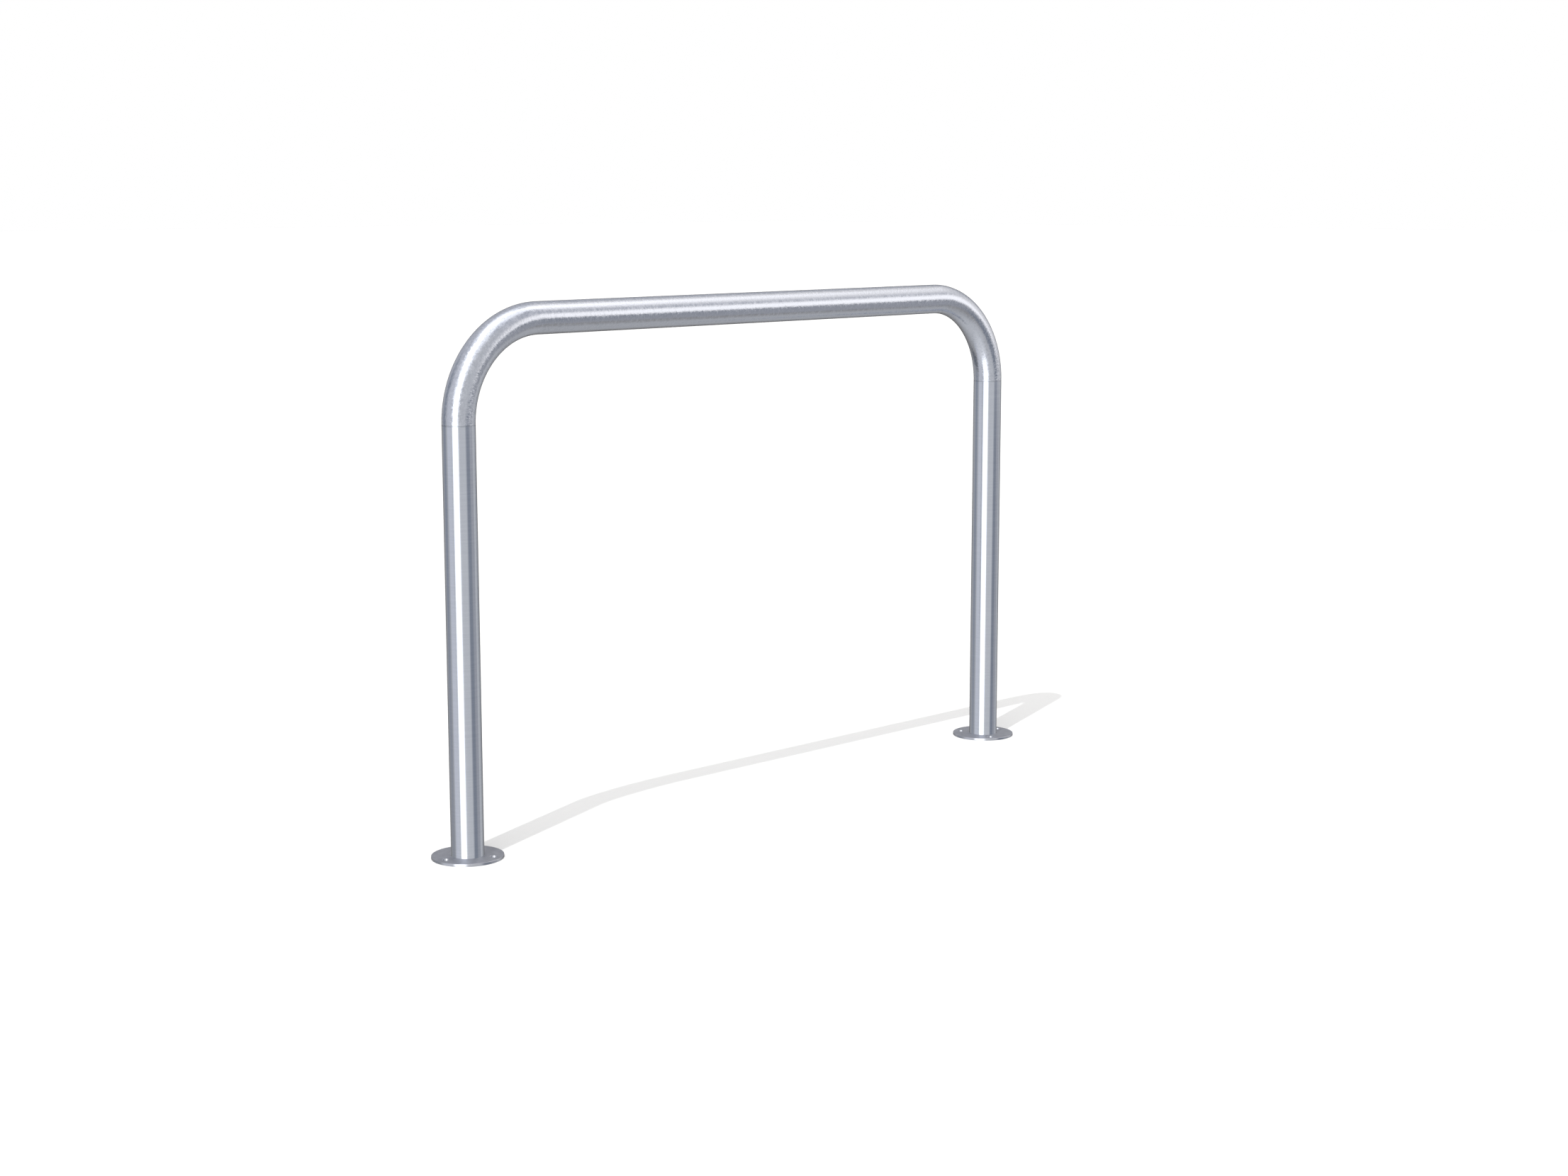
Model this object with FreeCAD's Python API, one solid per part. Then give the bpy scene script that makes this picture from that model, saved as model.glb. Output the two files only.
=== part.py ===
import FreeCAD, Part
import math
import os

# A fixed hoop barrier of round steel tube, bolted to the ground through two base flanges.
# Millimetres. X runs along the hoop, Y through it and Z up.
# The origin is on the ground, midway between the two legs.

# The hoop
hoop_length = 1500.0            # over the outer sides of the two legs
hoop_height = 1000.0            # from the ground to the top of the rail
bend_radius = 181.0             # of the tube's centreline, the same in both corners
tube_diameter = 60.3
tube_wall = 2.9

# The base flanges, flat discs with a centre bore for the leg and a ring of anchor holes
flange_diameter = 132.0
flange_thickness = 5.0
flange_edge_break = 0.4         # chamfer round the rim, top and bottom
anchor_hole_inset = 16.0        # from the rim to each hole's centre
anchor_hole_count = 3
anchor_hole_diameter = 14.0     # for M12 ground anchors
anchor_hole_edge_break = 0.3

# The foot joint: the leg stands inside the flange's bore and is welded from below
foot_clearance = 0.25           # all round, between the leg and the flange's bore
foot_weld_height = 2.0
foot_weld_recess = 0.5          # the weld is ground to this height above the flange's underside

# The joint under each bend: a butt weld on a sleeve inside the tube, ground flush outside
joint_weld_width = 2.0          # the gap between the leg and the bend that the weld fills
sleeve_wall = 3.0
sleeve_clearance = 0.35         # all round, between the sleeve and the tube's bore
sleeve_length_in_leg = 30.0
sleeve_length_in_bend = 8.0     # short, so that the straight sleeve clears the bend's curve

# Derived places
tube_radius = tube_diameter / 2
bore_radius = tube_radius - tube_wall
leg_x = hoop_length / 2 - tube_radius
rail_z = hoop_height - tube_radius
bend_start_z = rail_z - bend_radius
leg_top_z = bend_start_z - joint_weld_width
leg_bottom_z = foot_weld_recess + foot_weld_height
sleeve_radius = bore_radius - sleeve_clearance
flange_bore_radius = tube_radius + foot_clearance
anchor_circle_radius = flange_diameter / 2 - anchor_hole_inset

UP = FreeCAD.Vector(0, 0, 1)


def ring(outer_radius, inner_radius, bottom_z, top_z, x):
    """An upright tube or ring, centred on a leg's axis."""
    base = FreeCAD.Vector(x, 0, bottom_z)
    height = top_z - bottom_z
    outside = Part.makeCylinder(outer_radius, height, base, UP)
    inside = Part.makeCylinder(inner_radius, height, base, UP)
    return outside.cut(inside)


def round_edges(solid, radius):
    """The circular edges of that radius."""
    circles = [edge for edge in solid.Edges if isinstance(edge.Curve, Part.Circle)]
    return [edge for edge in circles if abs(edge.Curve.Radius - radius) < 1e-6]


def hoop_top():
    """The rail with its two corner bends, one tube bent through 90 degrees at each end."""
    rail_end_x = leg_x - bend_radius
    sine = math.sin(math.radians(45))
    corner_offset = bend_radius * (1 - sine)
    left_foot = FreeCAD.Vector(-leg_x, 0, bend_start_z)
    left_middle = FreeCAD.Vector(-leg_x + corner_offset, 0, rail_z - corner_offset)
    left_head = FreeCAD.Vector(-rail_end_x, 0, rail_z)
    right_head = FreeCAD.Vector(rail_end_x, 0, rail_z)
    right_middle = FreeCAD.Vector(leg_x - corner_offset, 0, rail_z - corner_offset)
    right_foot = FreeCAD.Vector(leg_x, 0, bend_start_z)
    left_bend = Part.Arc(left_foot, left_middle, left_head).toShape()
    rail = Part.LineSegment(left_head, right_head).toShape()
    right_bend = Part.Arc(right_head, right_middle, right_foot).toShape()
    path = Part.Wire([left_bend, rail, right_bend])

    def swept(radius):
        section = Part.Wire([Part.makeCircle(radius, left_foot, UP)])
        return path.makePipeShell([section], True, False)

    tube = swept(tube_radius).cut(swept(bore_radius))
    wall_area = math.pi * (tube_radius ** 2 - bore_radius ** 2)
    print("rail and bends: volume over section times length",
          round(tube.Volume / (wall_area * path.Length), 6))
    return tube


def leg(x):
    """A straight tube from the foot weld up to the joint weld."""
    return ring(tube_radius, bore_radius, leg_bottom_z, leg_top_z, x)


def base_flange(x, first_hole_angle):
    """A disc with broken edges, bored for the leg, with anchor holes evenly spaced."""
    centre = FreeCAD.Vector(x, 0, 0)
    disc = Part.makeCylinder(flange_diameter / 2, flange_thickness, centre, UP)
    disc = disc.makeChamfer(flange_edge_break, round_edges(disc, flange_diameter / 2))
    disc = disc.cut(Part.makeCylinder(flange_bore_radius, flange_thickness, centre, UP))
    for index in range(anchor_hole_count):
        angle = math.radians(first_hole_angle + index * 360 / anchor_hole_count)
        outward = FreeCAD.Vector(math.cos(angle), math.sin(angle), 0)
        hole = centre + outward * anchor_circle_radius
        disc = disc.cut(Part.makeCylinder(anchor_hole_diameter / 2, flange_thickness, hole, UP))
    return disc.makeChamfer(anchor_hole_edge_break, round_edges(disc, anchor_hole_diameter / 2))


def foot_weld(x):
    """The weld under the leg's end, inside the flange's bore."""
    return ring(flange_bore_radius, bore_radius, foot_weld_recess, leg_bottom_z, x)


def joint_weld(x):
    """The butt weld between a leg and its bend, down to the sleeve and flush with the tube."""
    return ring(tube_radius, sleeve_radius, leg_top_z, bend_start_z, x)


def joint_sleeve(x):
    """The sleeve inside the joint, which lines up the leg and the bend and backs the weld."""
    bottom_z = leg_top_z - sleeve_length_in_leg
    top_z = bend_start_z + sleeve_length_in_bend
    return ring(sleeve_radius, sleeve_radius - sleeve_wall, bottom_z, top_z, x)


parts = {"hoop_top": hoop_top()}
for side, direction in (("left", -1), ("right", 1)):
    x = direction * leg_x
    outward_angle = 90 - 90 * direction     # one anchor hole points away from the other leg
    parts[side + "_leg"] = leg(x)
    parts[side + "_base_flange"] = base_flange(x, outward_angle)
    parts[side + "_foot_weld"] = foot_weld(x)
    parts[side + "_joint_weld"] = joint_weld(x)
    parts[side + "_joint_sleeve"] = joint_sleeve(x)

os.makedirs("parts", exist_ok=True)
for name, shape in parts.items():
    assert shape.isValid() and len(shape.Solids) == 1, name
    shape.exportStep("parts/" + name + ".step")
    print(name, round(shape.Volume), "mm3")
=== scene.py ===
import bmesh
import bpy
import math
from mathutils import Matrix, Vector


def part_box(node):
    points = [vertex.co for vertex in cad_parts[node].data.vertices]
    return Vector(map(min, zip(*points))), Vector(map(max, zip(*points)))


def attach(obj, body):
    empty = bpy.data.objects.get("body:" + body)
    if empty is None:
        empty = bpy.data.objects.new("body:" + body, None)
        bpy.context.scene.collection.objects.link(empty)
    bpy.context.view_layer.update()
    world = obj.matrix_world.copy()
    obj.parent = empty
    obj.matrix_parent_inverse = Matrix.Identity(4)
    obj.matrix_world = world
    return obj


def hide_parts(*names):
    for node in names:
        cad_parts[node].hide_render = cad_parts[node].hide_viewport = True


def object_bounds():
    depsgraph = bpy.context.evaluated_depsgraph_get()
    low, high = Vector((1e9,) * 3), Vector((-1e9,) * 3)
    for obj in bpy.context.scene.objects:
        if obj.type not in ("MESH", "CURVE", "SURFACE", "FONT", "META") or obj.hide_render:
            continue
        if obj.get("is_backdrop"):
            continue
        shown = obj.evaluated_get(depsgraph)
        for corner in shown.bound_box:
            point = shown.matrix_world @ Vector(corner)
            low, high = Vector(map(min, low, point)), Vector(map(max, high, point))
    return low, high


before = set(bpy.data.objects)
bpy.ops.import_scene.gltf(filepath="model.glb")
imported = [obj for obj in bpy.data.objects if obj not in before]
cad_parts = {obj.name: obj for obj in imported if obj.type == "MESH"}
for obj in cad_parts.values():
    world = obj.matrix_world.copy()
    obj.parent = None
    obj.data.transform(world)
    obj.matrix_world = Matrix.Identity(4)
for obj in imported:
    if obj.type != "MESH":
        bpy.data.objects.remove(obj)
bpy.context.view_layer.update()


# Base flanges: two flat steel discs that stand on the ground and carry the hoop.
# Each is cut from 5 mm plate, bored for its leg and drilled for three ground anchors.
# Its flat faces are dull galvanised grey, and its turned rim and drilled holes are bright.
SIDES = ("left", "right")
flange_diameter = 0.132
flange_bore = 0.0608
anchor_circle = 0.100
anchor_hole = 0.014
flange_edge_break = 0.0004
anchor_edge_break = 0.0003
flange_edge_band = 0.002
flange_rim_steps = 192
flange_bore_steps = 96
anchor_hole_steps = 40
level_face = 0.9                # how far up or down a flat face's normal points, at the least


def joined(tree, kind, inputs, **settings):
    """A node of that kind, with its settings, its plain values and its links."""
    node = tree.nodes.new(kind)
    for name, value in settings.items():
        setattr(node, name, value)
    for socket, value in inputs.items():
        if isinstance(value, bpy.types.NodeSocket):
            tree.links.new(value, node.inputs[socket])
        else:
            node.inputs[socket].default_value = value
    return node


def metal(name, edge_tint):
    """A bare metal: its material, its node tree, its shader and its own coordinates. The edge
    tint is how bright it stays where the eye just grazes it."""
    material = bpy.data.materials.new(name)
    material.use_nodes = True
    tree = material.node_tree
    shader = tree.nodes["Principled BSDF"]
    shader.inputs["Metallic"].default_value = 1.0
    shader.inputs["Specular Tint"].default_value = (edge_tint, edge_tint, edge_tint, 1)
    place = joined(tree, "ShaderNodeTexCoord", {}).outputs["Object"]
    return material, tree, shader, place


def noise(tree, place, scale, detail=3.0, graininess=0.6):
    """Cloudy noise of that many features to the metre, or to the mapped unit."""
    inputs = {"Vector": place, "Scale": scale, "Detail": detail, "Roughness": graininess}
    return joined(tree, "ShaderNodeTexNoise", inputs).outputs["Fac"]


def stretched(tree, place, scale):
    """The coordinates scaled by that much along each axis, to draw noise out into lines."""
    return joined(tree, "ShaderNodeMapping", {"Vector": place, "Scale": scale}).outputs["Vector"]


def blended(tree, first, second, share):
    """Two noises as one, with that share of the second."""
    inputs = {"Factor": share, "A": first, "B": second}
    return joined(tree, "ShaderNodeMix", inputs).outputs["Result"]


# A noise's tone is nearly always between these two, so they are its full range here.
darkest_tone = 0.34
palest_tone = 0.66


def coloured(tree, shader, tone, dark, pale):
    """The metal's colour, from dark to pale with the tone of a noise."""
    ramp = joined(tree, "ShaderNodeValToRGB", {"Fac": tone})
    dark_stop, pale_stop = ramp.color_ramp.elements
    dark_stop.position = darkest_tone
    dark_stop.color = (*dark, 1)
    pale_stop.position = palest_tone
    pale_stop.color = (*pale, 1)
    tree.links.new(ramp.outputs["Color"], shader.inputs["Base Color"])


def roughened(tree, shader, tone, low, high):
    """The metal's roughness, from low to high with the tone of a noise."""
    inputs = {"Value": tone, "From Min": darkest_tone, "From Max": palest_tone,
              "To Min": low, "To Max": high}
    spread = joined(tree, "ShaderNodeMapRange", inputs)
    tree.links.new(spread.outputs["Result"], shader.inputs["Roughness"])


def textured(tree, shader, tone, strength, depth):
    """Fine relief from the tone of a noise, that deep in metres."""
    relief = joined(tree, "ShaderNodeBump", {"Height": tone, "Strength": strength, "Distance": depth})
    tree.links.new(relief.outputs["Normal"], shader.inputs["Normal"])


def picked(parts, kind):
    """Those parts of a mesh that are of one kind: its points, edges or faces."""
    return [part for part in parts if isinstance(part, kind)]


def raised(shape, height):
    """The flat outline at the origin, drawn up into a solid of that height."""
    drawn = bmesh.ops.extrude_face_region(shape, geom=shape.faces[:])["geom"]
    bmesh.ops.translate(shape, verts=picked(drawn, bmesh.types.BMVert), vec=(0, 0, height))
    bmesh.ops.recalc_face_normals(shape, faces=shape.faces[:])


cut_angle = math.radians(60)
crisp_angle = math.radians(12)


def cut_corners(shape):
    """The sharp corners that sawing, turning and drilling leave."""
    return [edge for edge in shape.edges if edge.calc_face_angle(0.0) > cut_angle]


def broken(shape, corners, size, segments):
    """Those corners lightly broken, as a file or a deburring wheel leaves them."""
    bmesh.ops.bevel(shape, geom=corners, offset=size, segments=segments,
                    profile=0.5, affect="EDGES", material=-1)


def shaded(shape):
    """Smooth shading round the curves, with every cut edge and its bevel left crisp."""
    for face in shape.faces:
        face.smooth = True
    for edge in shape.edges:
        edge.smooth = edge.calc_face_angle(0.0) < crisp_angle


def finished(shape, name, materials, node):
    """The finished mesh as a piece of the barrier, in place of its CAD node."""
    bmesh.ops.recalc_face_normals(shape, faces=shape.faces[:])
    mesh = bpy.data.meshes.new(name)
    shape.to_mesh(mesh)
    shape.free()
    for material in materials:
        mesh.materials.append(material)
    piece = bpy.data.objects.new(name, mesh)
    bpy.context.scene.collection.objects.link(piece)
    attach(piece, "root")
    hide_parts(node)
    return piece


zinc_plate, tree, shader, place = metal("zinc_plate", 0.75)
grains = noise(tree, place, 520.0)
tone = blended(tree, noise(tree, place, 90.0, 4.0), grains, 0.35)
coloured(tree, shader, tone, (0.38, 0.39, 0.43), (0.46, 0.47, 0.51))
roughened(tree, shader, tone, 0.48, 0.58)
textured(tree, shader, grains, 0.15, 0.0002)

turned_edge, tree, shader, place = metal("turned_edge", 0.7)
lines = noise(tree, stretched(tree, place, (40.0, 40.0, 1500.0)), 1.0)
coloured(tree, shader, lines, (0.62, 0.64, 0.70), (0.69, 0.71, 0.77))
roughened(tree, shader, lines, 0.15, 0.21)

for side in SIDES:
    low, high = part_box(side + "_base_flange")
    centre = (low + high) / 2
    outward = math.copysign(1, centre.x)
    shape = bmesh.new()
    bmesh.ops.create_circle(shape, segments=flange_rim_steps, radius=flange_diameter / 2)
    bmesh.ops.create_circle(shape, segments=flange_bore_steps, radius=flange_bore / 2)
    for turn in (0, 120, 240):
        angle = math.radians(turn)
        spot = Vector((outward * math.cos(angle), math.sin(angle), 0)) * anchor_circle / 2
        bmesh.ops.create_circle(shape, segments=anchor_hole_steps, radius=anchor_hole / 2,
                                matrix=Matrix.Translation(spot))
    bmesh.ops.triangle_fill(shape, use_beauty=True, edges=shape.edges[:])
    bmesh.ops.inset_region(shape, faces=shape.faces[:], thickness=flange_edge_band,
                           use_even_offset=True, use_boundary=True)
    raised(shape, high.z - low.z)
    # The rim's and the holes' corners are broken. The bore's stay sharp, round the leg.
    corners = cut_corners(shape)
    rim_corners = [edge for edge in corners
                   if edge.verts[0].co.xy.length > flange_diameter / 2 - flange_edge_band]
    hole_corners = [edge for edge in corners if edge not in rim_corners
                    and edge.verts[0].co.xy.length > flange_bore / 2 + flange_edge_band]
    broken(shape, rim_corners, flange_edge_break, 3)
    broken(shape, hole_corners, anchor_edge_break, 2)
    bmesh.ops.translate(shape, verts=shape.verts[:], vec=(centre.x, centre.y, low.z))
    shaded(shape)
    shape.normal_update()
    for face in shape.faces:
        face.material_index = 0 if abs(face.normal.z) > level_face else 1
    disc = finished(shape, side + "_flange_disc", (zinc_plate, turned_edge),
                    side + "_base_flange")
    # The discs are left out of the tube's reflections, which run straight down to them.
    disc.visible_glossy = False


# Legs: two straight lengths of round steel tube, 60.3 mm across with a 2.9 mm wall.
# They are sawn square, their ends lightly deburred, and brushed round and round,
# which leaves fine level lines all the way up. Each stands in its flange's bore.
tube_diameter = 0.0603
tube_wall = 0.0029
tube_steps = 96
tube_end_break = 0.0003


def ring_face(shape, outer_radius, inner_radius):
    """A flat ring, the cut end of a tube, centred on the origin."""
    bmesh.ops.create_circle(shape, segments=tube_steps, radius=outer_radius)
    bmesh.ops.create_circle(shape, segments=tube_steps, radius=inner_radius)
    bmesh.ops.bridge_loops(shape, edges=shape.edges[:])


def straight_tube(outer_radius, inner_radius, bottom, top, x, end_break):
    """An upright tube or ring with lightly broken ends, on a leg's axis."""
    shape = bmesh.new()
    ring_face(shape, outer_radius, inner_radius)
    raised(shape, top - bottom)
    broken(shape, cut_corners(shape), end_break, 2)
    bmesh.ops.translate(shape, verts=shape.verts[:], vec=(x, 0, bottom))
    shaded(shape)
    return shape


brushed_steel, tree, shader, place = metal("brushed_steel", 0.6)
lines = noise(tree, stretched(tree, place, (14.0, 14.0, 620.0)), 1.0, 4.0)
coloured(tree, shader, lines, (0.665, 0.70, 0.78), (0.705, 0.74, 0.82))
roughened(tree, shader, lines, 0.11, 0.14)
textured(tree, shader, lines, 0.06, 0.0001)

for side in SIDES:
    low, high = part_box(side + "_leg")
    leg_x = (low.x + high.x) / 2
    shape = straight_tube(tube_diameter / 2, tube_diameter / 2 - tube_wall, low.z, high.z,
                          leg_x, tube_end_break)
    finished(shape, side + "_leg_tube", (brushed_steel,), side + "_leg")


# Foot welds: the ring of weld under each leg's end, inside the flange's bore.
# It is laid from below and ground back, so that it stays clear of the ground.
foot_weld_break = 0.0005

ground_weld, tree, shader, place = metal("ground_weld", 0.8)
ripples = noise(tree, place, 420.0)
coloured(tree, shader, ripples, (0.44, 0.46, 0.50), (0.60, 0.62, 0.66))
roughened(tree, shader, ripples, 0.36, 0.46)
textured(tree, shader, ripples, 0.4, 0.0003)

for side in SIDES:
    low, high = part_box(side + "_foot_weld")
    shape = straight_tube(flange_bore / 2, tube_diameter / 2 - tube_wall, low.z, high.z,
                          (low.x + high.x) / 2, foot_weld_break)
    finished(shape, side + "_foot_weld_bead", (ground_weld,), side + "_foot_weld")


# Joint sleeves: a short tube hidden in the top of each leg, which lines the leg up
# with its bend and backs the weld. It is plain mill steel, a loose fit in the bore.
sleeve_diameter = 0.0538
sleeve_wall = 0.003
sleeve_end_break = 0.0005

mill_steel, tree, shader, place = metal("mill_steel", 0.8)
oxide = noise(tree, place, 160.0, 4.0)
coloured(tree, shader, oxide, (0.30, 0.30, 0.32), (0.44, 0.45, 0.47))
roughened(tree, shader, oxide, 0.45, 0.55)
textured(tree, shader, oxide, 0.2, 0.0002)

for side in SIDES:
    low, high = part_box(side + "_joint_sleeve")
    shape = straight_tube(sleeve_diameter / 2, sleeve_diameter / 2 - sleeve_wall, low.z, high.z,
                          (low.x + high.x) / 2, sleeve_end_break)
    finished(shape, side + "_inner_sleeve", (mill_steel,), side + "_joint_sleeve")


# Joint welds: the ring of weld that closes the 2 mm gap between a leg and its bend.
# It runs in to the sleeve. Outside it is ground flush, a little duller than the leg, so
# that all it leaves is a hairline, where the bend's mottled finish stops.
joint_weld_break = 0.0001

flush_weld, tree, shader, place = metal("flush_weld", 0.6)
ripples = noise(tree, place, 300.0)
coloured(tree, shader, ripples, (0.55, 0.58, 0.65), (0.61, 0.64, 0.71))
roughened(tree, shader, ripples, 0.14, 0.20)
textured(tree, shader, ripples, 0.1, 0.0001)

for side in SIDES:
    low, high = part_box(side + "_joint_weld")
    shape = straight_tube(tube_diameter / 2, sleeve_diameter / 2, low.z, high.z,
                          (low.x + high.x) / 2, joint_weld_break)
    finished(shape, side + "_joint_weld_ring", (flush_weld,), side + "_joint_weld")


# Hoop top: the rail and both corner bends, one steel tube bent cold at each end.
# Its zinc coat is finely mottled, with short faint streaks that run round the tube.
bend_radius = 0.181
quarter_turn = math.radians(90)
bend_steps = 48
rail_steps = 24
merge_distance = 0.00001

low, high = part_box("hoop_top")
bend_start = low.z
leg_x = high.x - tube_diameter / 2
rail_end = leg_x - bend_radius
shape = bmesh.new()
ring_face(shape, tube_diameter / 2, tube_diameter / 2 - tube_wall)
bmesh.ops.translate(shape, verts=shape.verts[:], vec=(-leg_x, 0, bend_start))
tip = shape.faces[:] + shape.edges[:] + shape.verts[:]
tip = bmesh.ops.spin(shape, geom=tip, cent=(-rail_end, 0, bend_start), axis=(0, 1, 0),
                     angle=quarter_turn, steps=bend_steps)["geom_last"]
for step in range(rail_steps):
    tip = bmesh.ops.extrude_face_region(shape, geom=picked(tip, bmesh.types.BMFace))["geom"]
    bmesh.ops.translate(shape, verts=picked(tip, bmesh.types.BMVert),
                        vec=(2 * rail_end / rail_steps, 0, 0))
bmesh.ops.spin(shape, geom=tip, cent=(rail_end, 0, bend_start), axis=(0, 1, 0),
               angle=quarter_turn, steps=bend_steps)
bmesh.ops.remove_doubles(shape, verts=shape.verts[:], dist=merge_distance)
bmesh.ops.recalc_face_normals(shape, faces=shape.faces[:])
broken(shape, cut_corners(shape), tube_end_break, 2)
shaded(shape)

mottled_zinc, tree, shader, place = metal("mottled_zinc", 0.78)
place = joined(tree, "ShaderNodeAttribute", {}, attribute_name="unbent").outputs["Vector"]
streaks = noise(tree, stretched(tree, place, (520.0, 70.0, 70.0)), 1.0)
tone = blended(tree, noise(tree, place, 210.0, 2.0), streaks, 0.2)
coloured(tree, shader, tone, (0.605, 0.635, 0.71), (0.725, 0.755, 0.835))
roughened(tree, shader, tone, 0.06, 0.31)
textured(tree, shader, tone, 0.5, 0.0006)

hoop = finished(shape, "rail_and_bends", (mottled_zinc,), "hoop_top")

# Where each point was on the straight tube before it was bent, which the finish follows.
unbent = hoop.data.attributes.new("unbent", "FLOAT_VECTOR", "POINT")
for vertex, spot in zip(hoop.data.vertices, unbent.data):
    beyond = abs(vertex.co.x) - rail_end
    above = vertex.co.z - bend_start
    if beyond > 0:
        along = rail_end + bend_radius * math.atan2(beyond, above)
        spot.vector = (math.copysign(along, vertex.co.x), vertex.co.y,
                       math.hypot(beyond, above) - bend_radius)
    else:
        spot.vector = (vertex.co.x, vertex.co.y, above - bend_radius)


# Studio: a plain white floor that runs out to a white backdrop, one hard lamp high on
# the left that throws the thin shadow, and soft white and grey screens all round.
floor_reach = 60.0

floor_shape = bmesh.new()
bmesh.ops.create_grid(floor_shape, x_segments=1, y_segments=1, size=floor_reach)
floor_mesh = bpy.data.meshes.new("floor")
floor_shape.to_mesh(floor_mesh)
floor_shape.free()
floor = bpy.data.objects.new("floor", floor_mesh)
# The metal mirrors the tent's lower bands, and not the floor itself.
floor.visible_glossy = False
bpy.context.scene.collection.objects.link(floor)
white_floor = bpy.data.materials.new("white_floor")
white_floor.use_nodes = True
shader = white_floor.node_tree.nodes["Principled BSDF"]
shader.inputs["Base Color"].default_value = (0.888, 0.885, 0.872, 1)
shader.inputs["Roughness"].default_value = 1.0
shader.inputs["Specular IOR Level"].default_value = 0.0
floor_mesh.materials.append(white_floor)
floor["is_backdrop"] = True

lamp_travel = Vector((0.5217, 0.1887, -1.0))
lamp_data = bpy.data.lights.new("shadow_lamp", "SUN")
lamp_data.energy = 1.1
lamp_data.angle = math.radians(0.5)
shadow_lamp = bpy.data.objects.new("shadow_lamp", lamp_data)
shadow_lamp.rotation_euler = lamp_travel.to_track_quat("-Z", "Y").to_euler()
bpy.context.scene.collection.objects.link(shadow_lamp)

world = bpy.data.worlds.new("studio")
bpy.context.scene.world = world
world.use_nodes = True
tree = world.node_tree
tree.nodes.clear()
look = joined(tree, "ShaderNodeSeparateXYZ",
              {"Vector": joined(tree, "ShaderNodeTexCoord", {}).outputs["Generated"]})


def worked(operation, first, second=0.0, third=0.0):
    """One step of arithmetic on the studio's directions."""
    return joined(tree, "ShaderNodeMath", {0: first, 1: second, 2: third},
                  operation=operation).outputs["Value"]


# Both in degrees. The bearing is 0 along +Y, 90 along +X and -90 along -X.
degrees_per_radian = 180 / math.pi
bearing = worked("MULTIPLY", worked("ARCTAN2", look.outputs["X"], look.outputs["Y"]),
                 degrees_per_radian)
height = worked("MULTIPLY", worked("ARCSINE", look.outputs["Z"]), degrees_per_radian)


def faded(value, edge, softness):
    """1 where the value is past the edge, 0 before it, with a smooth change between."""
    return joined(tree, "ShaderNodeMapRange",
                  {"Value": value, "From Min": edge - softness, "From Max": edge + softness},
                  interpolation_type="SMOOTHSTEP").outputs["Result"]


def mixed(share, first, second):
    """Two colours as one, with that share of the second. A colour mix takes its share at
    socket 0 and its colours at sockets 6 and 7."""
    return joined(tree, "ShaderNodeMix", {0: share, 6: first, 7: second},
                  data_type="RGBA").outputs[2]


def lit(brightness, tint):
    """A tinted grey of that brightness."""
    return (*(brightness * part for part in tint), 1)


def screen(behind, brightness, tint, bearings, heights):
    """A soft-edged screen of that tinted grey, in front of what is behind it."""
    middle, half_width, soft_sides = bearings
    foot, top, soft_ends = heights
    apart = worked("WRAP", worked("SUBTRACT", bearing, middle), 180.0, -180.0)
    beside = faded(worked("ABSOLUTE", apart), half_width, soft_sides)
    within = worked("MULTIPLY", worked("SUBTRACT", 1.0, beside), faded(height, foot, soft_ends))
    within = worked("MULTIPLY", within, worked("SUBTRACT", 1.0, faded(height, top, soft_ends)))
    return mixed(within, behind, lit(brightness, tint))


NEUTRAL = (1.0, 1.0, 1.0)
COOL = (0.99, 1.0, 1.05)
SLATE = (0.93, 1.0, 1.13)
WARM = (1.03, 1.0, 0.97)

# The tent all round, from straight down to straight up: each height, brightness and tint.
tent_bands = (
    (-90, 0.66, NEUTRAL), (-68, 0.575, NEUTRAL), (-50, 0.445, NEUTRAL),
    (-36, 0.36, WARM), (-24, 0.27, WARM), (-15, 0.42, NEUTRAL),
    (-4, 0.48, NEUTRAL), (12, 0.56, COOL), (54, 0.60, COOL),
    (62, 0.82, COOL), (68, 1.10, NEUTRAL), (76, 1.80, NEUTRAL),
)
tent = joined(tree, "ShaderNodeValToRGB", {"Fac": worked("MULTIPLY_ADD", height, 1 / 180, 0.5)})
ramp = tent.color_ramp
while len(ramp.elements) < len(tent_bands):
    ramp.elements.new(0.5)
for stop, (degrees, brightness, tint) in zip(ramp.elements, tent_bands):
    stop.position = 0.5 + degrees / 180
    stop.color = lit(brightness, tint)

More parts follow.
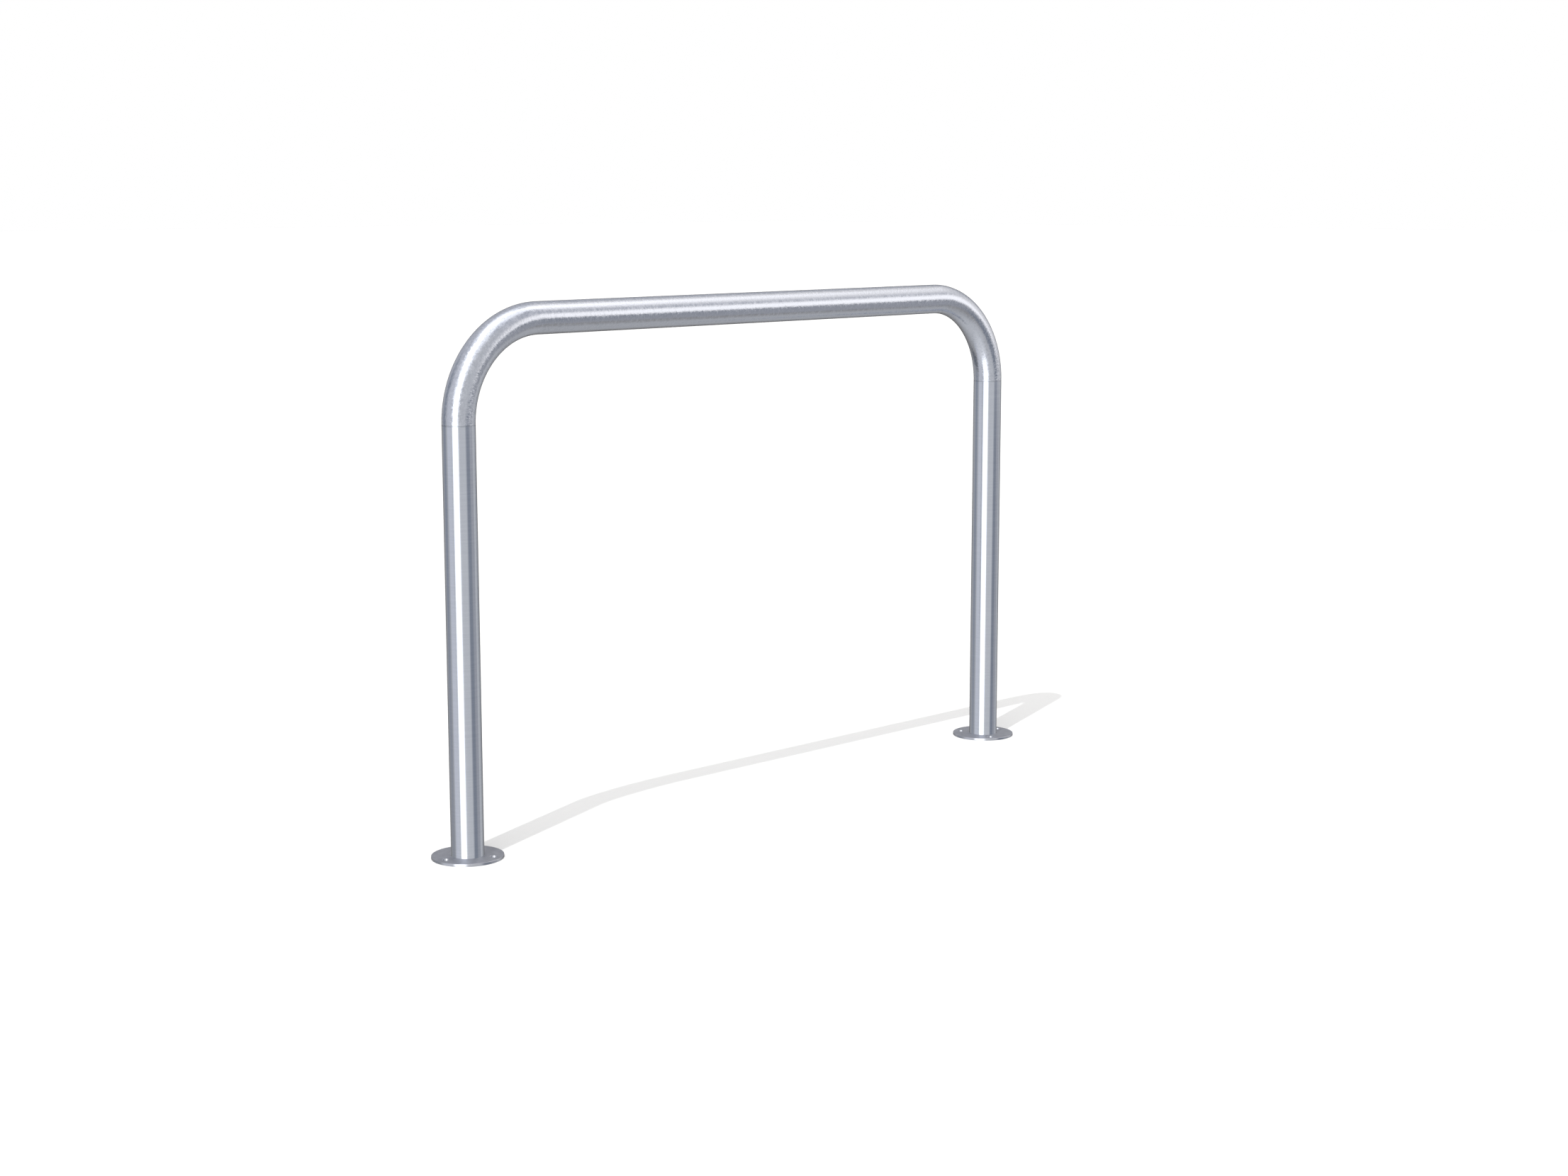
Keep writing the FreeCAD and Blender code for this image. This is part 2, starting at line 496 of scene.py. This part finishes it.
# The screens that hang before the tent, each in front of those above it in the list:
# brightness and tint, then middle, half width and softness of the bearings, then foot,
# top and softness of the heights.
screens = (
    # pale grey cloths to the left and in front
    (0.64, NEUTRAL, (-152, 48, 12), (-80, -30, 12)),
    (0.63, NEUTRAL, (-152, 48, 12), (-30, 44, 12)),
    (0.67, COOL, (-74, 19, 8), (-60, 46, 8)),
    (0.80, NEUTRAL, (-118, 40, 14), (-66, -20, 14)),
    # dark flags behind
    (0.33, SLATE, (-31, 13, 9), (-14, 34, 6)),
    (0.17, SLATE, (-27, 20, 10), (-34, -18, 4)),
    (0.20, NEUTRAL, (44, 19, 6), (-24, 14, 6)),
    # bright panels on the right
    (0.95, WARM, (94, 30, 10), (28, 64, 10)),
    (1.62, WARM, (102, 20, 9), (44, 80, 9)),
    (1.30, NEUTRAL, (136, 26, 9), (58, 95, 9)),
    (0.92, WARM, (120, 36, 8), (-2, 24, 7)),
    (1.40, WARM, (129, 17, 8), (0, 20, 6)),
    # grey and dark strips low on the right
    (0.53, NEUTRAL, (86, 26, 8), (-50, -10, 4)),
    (0.42, NEUTRAL, (70, 15, 7), (-30, -10, 4)),
    (0.40, COOL, (127, 14, 6), (-32, -4, 2.5)),
    (0.60, NEUTRAL, (105, 9, 6), (-22, -5, 4)),
    (0.28, SLATE, (155, 15, 7), (-26, -3, 2.5)),
    # the bright ceiling on the left, and the tall strip that draws the long highlights
    (1.25, NEUTRAL, (-124, 50, 14), (44, 95, 14)),
    (1.20, NEUTRAL, (-120, 30, 12), (24, 95, 12)),
    (1.90, NEUTRAL, (-118.2, 19.2, 6), (-34, 95, 8)),
)
light = tent.outputs["Color"]
for brightness, tint, bearings, heights in screens:
    light = screen(light, brightness, tint, bearings, heights)

# What is seen directly is a plain white backdrop. The tent and its screens only light
# the barrier and show in its metal.
backdrop_white = (1.0, 1.0, 1.0, 1)
seen = joined(tree, "ShaderNodeLightPath", {}).outputs["Is Camera Ray"]
background = joined(tree, "ShaderNodeBackground",
                    {"Color": mixed(seen, light, backdrop_white), "Strength": 1.0})
joined(tree, "ShaderNodeOutputWorld", {"Surface": background.outputs["Background"]})

view = bpy.context.scene.view_settings
view.view_transform = "Standard"
view.look = "None"
view.exposure = 0.0
view.gamma = 1.0

camera_dip = math.radians(9.263)
camera_bearing = math.radians(44.996)
camera_data = bpy.data.cameras.new("camera")
camera_data.lens = 56.286
camera_data.sensor_width = 36.0
camera_data.clip_start = 0.1
camera_data.clip_end = 200.0
camera = bpy.data.objects.new("camera", camera_data)
camera.location = (-3.3693, -3.4632, 1.2011)
camera.rotation_euler = (quarter_turn - camera_dip, 0, -camera_bearing)
bpy.context.scene.collection.objects.link(camera)
bpy.context.scene.camera = camera

low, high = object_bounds()
